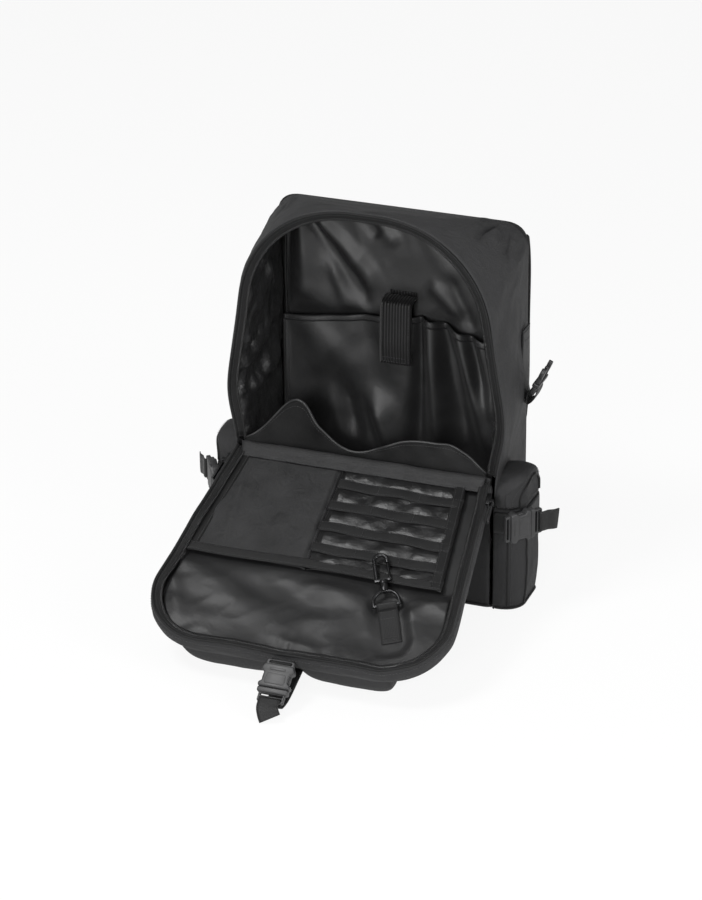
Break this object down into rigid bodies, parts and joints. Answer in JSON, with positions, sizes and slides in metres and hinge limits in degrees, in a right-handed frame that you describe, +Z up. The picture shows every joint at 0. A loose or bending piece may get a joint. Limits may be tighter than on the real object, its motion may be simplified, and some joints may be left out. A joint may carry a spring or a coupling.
{
  "type": "trauma backpack",
  "caption": "Medical backpack standing open: the zipped front panel is folded down, with side pouches, an inner sleeve, elastic rows and a key clip.",
  "frame": {"origin": "on the floor under the middle of the bag's base", "axes": "+Z up, +Y towards the wearer's back, the opening faces -Y, +X is on the viewer's right of the opening"},
  "size_m": [0.3992, 0.4791, 0.4499],
  "materials": {
    "outer_fabric": "woven coated nylon",
    "lining": "smooth satin nylon",
    "webbing": "flat woven webbing",
    "tape": "ribbed tape",
    "padding": "padded fabric",
    "buckle_plastic": "moulded",
    "black_metal": "semi-gloss black"
  },
  "bodies": {
    "pack": {"side_wall_left": "outer_fabric", "side_wall_right": "outer_fabric", "top_wall": "outer_fabric", "back_board": "padding", "base_board": "outer_fabric", "lower_front_wall": "outer_fabric", "front_lip": "outer_fabric", "mouth_zip": "tape", "back_lining": "lining", "corner_piping": "tape", "sleeve_pocket": "lining", "hinge_tape": "tape", "sleeve_strap_patch": "webbing", "pouch_left": "outer_fabric", "pouch_right": "outer_fabric", "pouch_strap_left": "webbing", "pouch_strap_right": "webbing", "pouch_socket_left": "buckle_plastic", "pouch_socket_right": "buckle_plastic", "side_web_left": "webbing", "side_web_right": "webbing", "lower_web_left": "webbing", "lower_web_right": "webbing", "handle_anchors": "webbing"},
    "front_panel": {"panel_rim": "outer_fabric", "panel_board": "outer_fabric", "panel_lining": "lining", "panel_zip": "tape", "slip_pocket": "lining", "organizer_pocket": "lining", "elastic_rows": "webbing", "pocket_ribbon": "tape", "lower_outer_pocket": "outer_fabric", "upper_outer_pocket": "outer_fabric", "key_web": "webbing", "front_buckle_socket": "buckle_plastic"},
    "front_plug": {"front_buckle_plug": "buckle_plastic", "front_strap": "webbing", "front_strap_tail": "webbing"},
    "sleeve_strap": {"sleeve_strap": "webbing"},
    "haul_handle": {"haul_handle": "webbing"},
    "key_ring": {"key_ring": "black_metal"},
    "key_hook": {"key_hook": "black_metal"},
    "key_gate": {"key_gate": "black_metal"},
    "pouch_lid_left": {"pouch_lid_left": "outer_fabric"},
    "pouch_plug_left": {"pouch_plug_left": "buckle_plastic"},
    "side_plug_left": {"side_plug_left": "buckle_plastic"},
    "shoulder_strap_left": {"shoulder_pad_left": "padding", "ladder_lock_left": "buckle_plastic"},
    "zip_slider_left": {"zip_slider_left": "black_metal"},
    "zip_pull_left": {"zip_pull_left": "black_metal"},
    "pouch_lid_right": {"pouch_lid_right": "outer_fabric"},
    "pouch_plug_right": {"pouch_plug_right": "buckle_plastic"},
    "side_plug_right": {"side_plug_right": "buckle_plastic"},
    "shoulder_strap_right": {"shoulder_pad_right": "padding", "ladder_lock_right": "buckle_plastic"},
    "zip_slider_right": {"zip_slider_right": "black_metal"},
    "zip_pull_right": {"zip_pull_right": "black_metal"}
  },
  "joints": [
    {"name": "front_panel_fold", "type": "hinge", "parent": "pack", "child": "front_panel", "pos_m": [0, -0.066, 0.16], "axis": [-1, 0, 0], "range_deg": [0, 114]},
    {"name": "sleeve_strap_lift", "type": "hinge", "parent": "pack", "child": "sleeve_strap", "pos_m": [0.003, 0.0545, 0.31], "axis": [-1, 0, 0], "range_deg": [0, 80]},
    {"name": "haul_handle_swing", "type": "hinge", "parent": "pack", "child": "haul_handle", "pos_m": [0, 0.0735, 0.392], "axis": [1, 0, 0], "range_deg": [0, 165]},
    {"name": "pouch_lid_left_open", "type": "hinge", "parent": "pack", "child": "pouch_lid_left", "pos_m": [-0.1509, -0.0265, 0.162], "axis": [0, 1, 0], "range_deg": [0, 70]},
    {"name": "pouch_plug_left_release", "type": "slide", "parent": "pack", "child": "pouch_plug_left", "axis": [-0.6157, 0.788, 0], "range_m": [0, 0.024]},
    {"name": "side_plug_left_swing", "type": "hinge", "parent": "pack", "child": "side_plug_left", "pos_m": [-0.15922, 0.038, 0.2145], "axis": [0, -1, 0], "range_deg": [-12, 90]},
    {"name": "shoulder_strap_left_swing", "type": "hinge", "parent": "pack", "child": "shoulder_strap_left", "pos_m": [-0.111, 0.0755, 0.396], "axis": [1, 0, 0], "range_deg": [0, 15]},
    {"name": "zip_slider_left_run", "type": "slide", "parent": "front_panel", "child": "zip_slider_left", "axis": [-0.112, -0.9078, -0.4042], "range_m": [0, 0.165]},
    {"name": "zip_pull_left_swing", "type": "hinge", "parent": "zip_slider_left", "child": "zip_pull_left", "pos_m": [-0.15739, -0.08865, 0.14882], "axis": [0, 0.4067, -0.9135], "range_deg": [0, 150]},
    {"name": "pouch_lid_right_open", "type": "hinge", "parent": "pack", "child": "pouch_lid_right", "pos_m": [0.1509, -0.0265, 0.162], "axis": [0, -1, 0], "range_deg": [0, 70]},
    {"name": "pouch_plug_right_release", "type": "slide", "parent": "pack", "child": "pouch_plug_right", "axis": [0.6157, 0.788, 0], "range_m": [0, 0.024]},
    {"name": "side_plug_right_swing", "type": "hinge", "parent": "pack", "child": "side_plug_right", "pos_m": [0.15922, 0.038, 0.2145], "axis": [0, 1, 0], "range_deg": [-12, 90]},
    {"name": "shoulder_strap_right_swing", "type": "hinge", "parent": "pack", "child": "shoulder_strap_right", "pos_m": [0.111, 0.0755, 0.396], "axis": [1, 0, 0], "range_deg": [0, 15]},
    {"name": "zip_slider_right_run", "type": "slide", "parent": "front_panel", "child": "zip_slider_right", "axis": [0.112, -0.9078, -0.4042], "range_m": [0, 0.165]},
    {"name": "zip_pull_right_swing", "type": "hinge", "parent": "zip_slider_right", "child": "zip_pull_right", "pos_m": [0.15739, -0.08865, 0.14882], "axis": [0, -0.4067, 0.9135], "range_deg": [0, 150]},
    {"name": "front_plug_release", "type": "slide", "parent": "front_panel", "child": "front_plug", "axis": [0, -0.766, -0.6428], "range_m": [0, 0.024]},
    {"name": "key_ring_lift", "type": "hinge", "parent": "front_panel", "child": "key_ring", "pos_m": [0.088, -0.23198, 0.08041], "axis": [0.9135, 0.3716, 0.1654], "range_deg": [0, 150]},
    {"name": "key_hook_swivel", "type": "hinge", "parent": "key_ring", "child": "key_hook", "pos_m": [0.07741, -0.21173, 0.09343], "axis": [-0.4028, 0.7698, 0.4951], "range_deg": [-15, 15]},
    {"name": "key_gate_press", "type": "hinge", "parent": "key_hook", "child": "key_gate", "pos_m": [0.08159, -0.2049, 0.09731], "axis": [0.0566, -0.5189, 0.8529], "range_deg": [0, 22], "stiffness_Nm_per_rad": 0.01, "springref_deg": -2.86}
  ]
}
